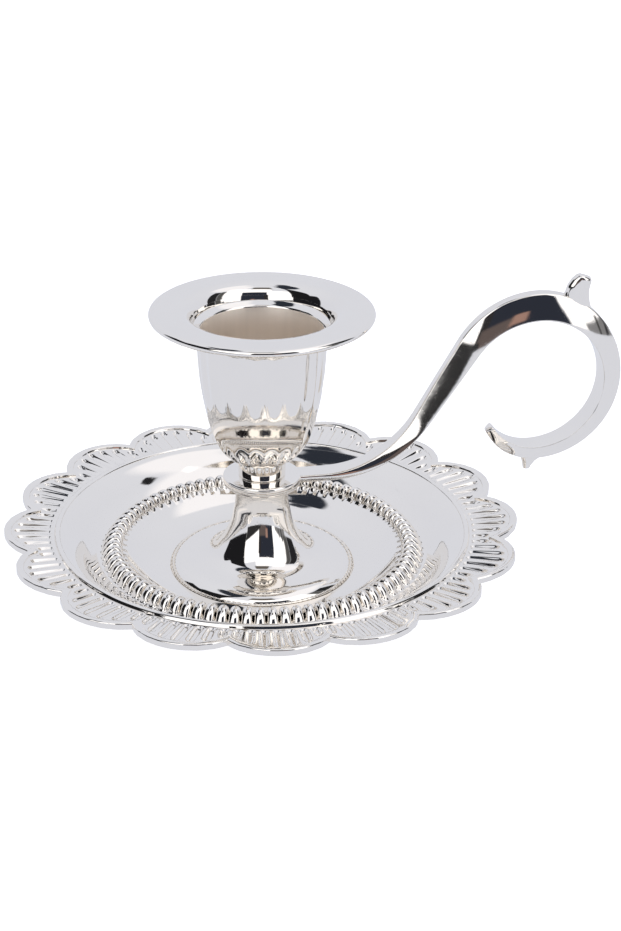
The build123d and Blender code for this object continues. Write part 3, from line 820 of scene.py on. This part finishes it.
def wrapped(piece_name, rings):
    """A grid rolled up through these rings of points, with its seam merged and its ends filled."""
    bpy.ops.object.select_all(action="DESELECT")
    bpy.ops.mesh.primitive_grid_add(x_subdivisions=len(rings[0]), y_subdivisions=len(rings) - 1, size=1)
    places = [point for ring in rings for point in ring + ring[:1]]
    bpy.context.object.data.vertices.foreach_set("co", np.array(places, float).ravel())
    piece = named(piece_name)
    bpy.ops.mesh.remove_doubles(threshold=MERGE)
    bpy.ops.mesh.select_all(action="DESELECT")
    bpy.ops.mesh.select_non_manifold()
    bpy.ops.mesh.edge_face_add()
    bpy.ops.mesh.select_all(action="SELECT")
    bpy.ops.mesh.normals_make_consistent(inside=False)
    bpy.ops.object.mode_set(mode="OBJECT")
    return piece


def strip_rings(sizes):
    """The strip's sections along its line, ending in a round tip."""
    line, along = strip_line(sizes, STRIP_STEPS)
    marks, *columns = np.transpose(STRIP_SHARES)
    inner, outer, tall = (softened(np.interp(along, marks, column)) for column in columns)
    rings = []
    for number in range(len(tall)):
        half_inner = inner[number] * sizes.width / 2
        half_outer = outer[number] * sizes.width / 2
        outline = section_outline(half_inner, half_outer, tall[number] * sizes.thickness)
        place, ahead, out = strip_frame(line, number)
        rings.append([place + Vector((0, point.x, 0)) + out * point.y for point in outline])
    last = rings[-1]
    centre = sum(last, Vector((0, 0, 0))) / len(last)
    reach = tall[-1] * sizes.thickness * 0.5
    for step in range(1, 6):
        angle = step / 6 * pi / 2
        shift = ahead * reach * sin(angle)
        rings.append([centre + (point - centre) * cos(angle) + shift for point in last])
    return rings


def horn_rings(sizes, place_share, height, width, back, front):
    """Sections of a point that stands on the strip's back, from its root to its tip."""
    line, along = strip_line(sizes, HORN_PLACES)
    place, ahead, out = strip_frame(line, int(np.argmin(np.abs(along - place_share))))
    rear, rear_levels = np.transpose(back)
    fore, fore_levels = np.transpose(front)
    base = rear_levels[0]
    rings = []
    for level in [base] + spread(base, 1.0, HORN_LEVELS):
        rear_end = np.interp(level, rear_levels, rear) * height
        fore_end = np.interp(level, fore_levels, fore) * height
        tip = sqrt(max(0.0, 1 - max(0.0, (level - HORN_TIP[0]) / HORN_TIP[1]) ** 2))
        half_long = (fore_end - rear_end) / 2 * tip
        half_wide = width / 2 * (1 - HORN_TAPER * (level - base)) * tip
        middle = place + ahead * (fore_end - half_long) + out * level * height
        ring = []
        for corner in range(HORN_CORNERS):
            angle = tau * corner / HORN_CORNERS
            lengthways = abs(cos(angle)) ** HORN_ROUND * (1 if cos(angle) > 0 else -1)
            sideways = abs(sin(angle)) ** HORN_ROUND * (1 if sin(angle) > 0 else -1)
            ring.append(middle + ahead * half_long * lengthways + Vector((0, half_wide * sideways, 0)))
        rings.append(ring)
    return rings


class CHAMBERSTICK_OT_handle(Operator):
    """Builds the handle: collar, looped strip, thumb rest and spur"""

    bl_idname = "chamberstick.handle"
    bl_label = "Handle"

    def execute(self, context):
        sizes = context.scene.chamberstick_handle
        low = stem_high.z
        high = cup_low.z
        edge = sizes.collar
        ease = 0.45 * MM
        profile = [(SCREW_WAY, low), (edge - ease, low)]
        profile += rounded((edge, low), (edge - ease, low), (edge, low + ease))[1:]
        profile += rounded((edge, high), (edge, high - ease), (edge - ease, high))
        profile += [(SCREW_WAY, high), (SCREW_WAY, low)]
        rest = (sizes.horn_place, sizes.horn, sizes.horn_width, THUMB_REST_BACK, THUMB_REST_FRONT)
        spur = (sizes.spur_place, sizes.spur, sizes.spur_width, SPUR_BACK, SPUR_FRONT)
        pieces = (
            lathe("handle_collar", profile, 40, 2),
            wrapped("handle_strip", strip_rings(sizes)),
            wrapped("thumb_rest", horn_rings(sizes, *rest)),
            wrapped("handle_spur", horn_rings(sizes, *spur)),
        )
        for piece in pieces:
            finish_piece(piece, "handle", "handle_silver")
        return {"FINISHED"}


def add_node(tree, kind, values, **settings):
    """Adds a shader node with these settings, and gives each input, by name or number, its value or link."""
    node = tree.nodes.new("ShaderNode" + kind)
    for name, value in settings.items():
        setattr(node, name, value)
    for name, value in values.items():
        if isinstance(value, bpy.types.NodeSocket):
            tree.links.new(value, node.inputs[name])
        else:
            node.inputs[name].default_value = value
    return node


def noise(tree, place, scale, detail):
    """A noise pattern over the object's own coordinates."""
    values = {"Vector": place, "Scale": scale, "Detail": detail}
    return add_node(tree, "TexNoise", values).outputs["Fac"]


def ramp(tree, value, start, end, low=0, high=1, kind="LINEAR"):
    """Maps a value's range from start to end onto low to high."""
    values = {"Value": value, "From Min": start, "From Max": end, "To Min": low, "To Max": high}
    return add_node(tree, "MapRange", values, interpolation_type=kind).outputs["Result"]


def blend(tree, factor, first, second):
    """Mixes two colours by a factor."""
    values = {"Factor": factor, "A": first, "B": second}
    return add_node(tree, "Mix", values, data_type="RGBA").outputs["Result"]


def metal(material_name, metallic):
    """A fresh metal material: itself, its node tree, its shader and the object's own coordinates."""
    material = bpy.data.materials.new(material_name)
    material.use_nodes = True
    tree = material.node_tree
    surface = tree.nodes["Principled BSDF"]
    surface.inputs["Metallic"].default_value = metallic
    return material, tree, surface, add_node(tree, "TexCoord", {}).outputs["Object"]


def colour_and_roughness(tree, surface, pattern, colour, darkest, roughness):
    """Varies a shader's colour, down to a darkest share of it, and its roughness along a pattern."""
    tint = blend(tree, pattern, (*[value * darkest for value in colour], 1), (*colour, 1))
    tree.links.new(tint, surface.inputs["Base Color"])
    tree.links.new(roughness, surface.inputs["Roughness"])


def polished(slot):
    """Mirror-bright silver plate, with faint ripples and a few pits left in the casting under it."""
    material_name = slot + "_polished"
    if material_name in bpy.data.materials:
        return bpy.data.materials[material_name]
    looks = bpy.context.scene.chamberstick_silver
    material, tree, surface, place = metal(material_name, 1)
    cloud = noise(tree, place, 120, 3)
    haze = ramp(tree, cloud, 0.35, 0.75, looks.gloss * 0.7, looks.gloss * 1.6)
    colour_and_roughness(tree, surface, cloud, looks.plate, 0.965, haze)
    ripple = noise(tree, place, 380, 2)
    pits = add_node(tree, "TexVoronoi", {"Vector": place, "Scale": 1500}).outputs["Distance"]
    dots = ramp(tree, pits, 0.0, 0.22, -0.35, 0.0)
    relief = add_node(tree, "Math", {0: ripple, 1: dots}, operation="ADD").outputs["Value"]
    bump = add_node(tree, "Bump", {"Strength": 0.25, "Distance": 0.02 * MM, "Height": relief})
    tree.links.new(bump.outputs["Normal"], surface.inputs["Normal"])
    return material


def satin(material_name):
    """Unpolished plate inside the socket, with faint streaks along the bore."""
    looks = bpy.context.scene.chamberstick_silver
    material, tree, surface, place = metal(material_name, 0.6)
    stretched = add_node(tree, "Mapping", {"Vector": place, "Scale": (1, 1, 0.06)}).outputs["Vector"]
    streaks = noise(tree, stretched, 700, 4)
    haze = ramp(tree, streaks, 0, 1, looks.matt * 0.85, looks.matt * 1.15)
    colour_and_roughness(tree, surface, streaks, looks.satin, 0.86, haze)
    return material


def zinc(material_name):
    """Plain zinc-plated steel with a fine grain."""
    looks = bpy.context.scene.chamberstick_silver
    material, tree, surface, place = metal(material_name, 1)
    grain = noise(tree, place, 900, 2)
    haze = ramp(tree, grain, 0, 1, 0.25, 0.42)
    colour_and_roughness(tree, surface, grain, looks.steel, 0.8, haze)
    return material


class CHAMBERSTICK_OT_fasteners(Operator):
    """Gives the tie screw and its washer their steel finish"""

    bl_idname = "chamberstick.fasteners"
    bl_label = "Screw and washer"

    def execute(self, context):
        steel = zinc("screw_zinc")
        for node in ("tie_screw", "tie_washer"):
            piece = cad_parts[node]
            piece.data.materials.clear()
            piece.data.materials.append(steel)
        return {"FINISHED"}


def studio_world(looks):
    """A pale studio seen by reflections, with dark and bright cards, and plain white for the camera."""
    world = bpy.data.worlds.new("studio")
    world.use_nodes = True
    bpy.context.scene.world = world
    tree = world.node_tree

    def calculate(operation, *values):
        return add_node(tree, "Math", dict(enumerate(values)), operation=operation).outputs["Value"]

    def fade(value, start, end):
        return ramp(tree, value, start, end, kind="SMOOTHSTEP")

    direction = add_node(tree, "TexCoord", {}).outputs["Generated"]
    split = add_node(tree, "SeparateXYZ", {"Vector": direction}).outputs
    azimuth = calculate("ARCTAN2", split["X"], calculate("MULTIPLY", split["Y"], -1))
    elevation = calculate("ARCSINE", split["Z"])
    colour = blend(tree, fade(elevation, radians(5), radians(75)), TENT_LOW, TENT_HIGH)
    for _, middle, half_width, low, high, rise, soft, brightness in STUDIO_CARDS:
        aside = calculate("SUBTRACT", azimuth, radians(middle))
        level = elevation
        if rise:
            level = calculate("SUBTRACT", elevation, calculate("MULTIPLY", aside, rise))
        beside = calculate("ABSOLUTE", aside)
        inside = fade(beside, radians(half_width + soft), radians(half_width - soft))
        over = fade(level, radians(low - soft), radians(low + soft))
        under = fade(level, radians(high + soft), radians(high - soft))
        mask = calculate("MULTIPLY", inside, calculate("MULTIPLY", over, under))
        colour = blend(tree, mask, colour, (*brightness, 1))
    camera_ray = add_node(tree, "LightPath", {}).outputs["Is Camera Ray"]
    shown = blend(tree, camera_ray, colour, (*[value * 1.02 for value in looks.white], 1))
    tree.links.new(shown, tree.nodes["Background"].inputs["Color"])


def floor_material(looks):
    """Plain pale floor for the camera, and the tent's own light for reflections."""
    material = bpy.data.materials.new("floor_white")
    material.use_nodes = True
    tree = material.node_tree
    plain = tree.nodes["Principled BSDF"]
    plain.inputs["Base Color"].default_value = (*looks.white, 1)
    plain.inputs["Roughness"].default_value = 0.9
    plain.inputs["Emission Color"].default_value = (*looks.white, 1)
    plain.inputs["Emission Strength"].default_value = 0.6
    tent = add_node(tree, "Emission", {"Color": TENT_LOW}).outputs["Emission"]
    camera_ray = add_node(tree, "LightPath", {}).outputs["Is Camera Ray"]
    choice = add_node(tree, "MixShader", {"Fac": camera_ray, 1: tent, 2: plain.outputs["BSDF"]})
    tree.links.new(choice.outputs["Shader"], tree.nodes["Material Output"].inputs["Surface"])
    return material


class CHAMBERSTICK_OT_stage(Operator):
    """Sets up the pale floor, the studio and the camera"""

    bl_idname = "chamberstick.stage"
    bl_label = "Stage"

    def execute(self, context):
        looks = context.scene.chamberstick_stage
        bpy.ops.object.select_all(action="DESELECT")
        bpy.ops.mesh.primitive_circle_add(vertices=128, radius=looks.floor, fill_type="NGON")
        floor = context.object
        floor.name = "floor"
        floor.data.materials.append(floor_material(looks))
        studio_world(looks)
        lens = bpy.data.cameras.new("camera")
        lens.lens = looks.lens
        lens.shift_x = looks.shift
        camera = bpy.data.objects.new("camera", lens)
        context.scene.collection.objects.link(camera)
        camera.location = (
            sin(looks.camera_turn) * looks.camera_distance,
            -cos(looks.camera_turn) * looks.camera_distance,
            looks.camera_height,
        )
        camera.rotation_euler = (pi / 2 - looks.camera_pitch, 0, looks.camera_turn)
        context.scene.camera = camera
        context.scene.view_settings.view_transform = "Standard"
        return {"FINISHED"}


class CHAMBERSTICK_PT_panel(Panel):
    """Lists the pieces and the stage"""

    bl_idname = "CHAMBERSTICK_PT_panel"
    bl_label = "Chamberstick"
    bl_space_type = "VIEW_3D"
    bl_region_type = "UI"
    bl_category = "Chamberstick"

    def draw(self, context):
        for operator in OPERATORS:
            self.layout.operator(operator.bl_idname)
        for name in SETTINGS:
            settings = getattr(context.scene, name)
            box = self.layout.box()
            for key in settings.__annotations__:
                box.prop(settings, key)


SETTINGS = {
    "chamberstick_plate": PlateSizes,
    "chamberstick_stem": StemSizes,
    "chamberstick_cup": CupSizes,
    "chamberstick_flange": FlangeSizes,
    "chamberstick_handle": HandleSizes,
    "chamberstick_silver": SilverLooks,
    "chamberstick_stage": StageLooks,
}
OPERATORS = (
    CHAMBERSTICK_OT_plate,
    CHAMBERSTICK_OT_stem,
    CHAMBERSTICK_OT_cup,
    CHAMBERSTICK_OT_flange,
    CHAMBERSTICK_OT_handle,
    CHAMBERSTICK_OT_fasteners,
    CHAMBERSTICK_OT_stage,
)


def register():
    """Registers the settings, operators and panel."""
    for name, settings in SETTINGS.items():
        bpy.utils.register_class(settings)
        setattr(bpy.types.Scene, name, PointerProperty(type=settings))
    for operator in OPERATORS:
        bpy.utils.register_class(operator)
    bpy.utils.register_class(CHAMBERSTICK_PT_panel)


def unregister():
    """Takes them away again."""
    bpy.utils.unregister_class(CHAMBERSTICK_PT_panel)
    for operator in reversed(OPERATORS):
        bpy.utils.unregister_class(operator)
    for name, settings in SETTINGS.items():
        delattr(bpy.types.Scene, name)
        bpy.utils.unregister_class(settings)


def main():
    """Builds every piece and the stage."""
    register()
    bpy.ops.chamberstick.plate()
    bpy.ops.chamberstick.stem()
    bpy.ops.chamberstick.cup()
    bpy.ops.chamberstick.flange()
    bpy.ops.chamberstick.handle()
    bpy.ops.chamberstick.fasteners()
    bpy.ops.chamberstick.stage()


if __name__ == "__main__":
    main()
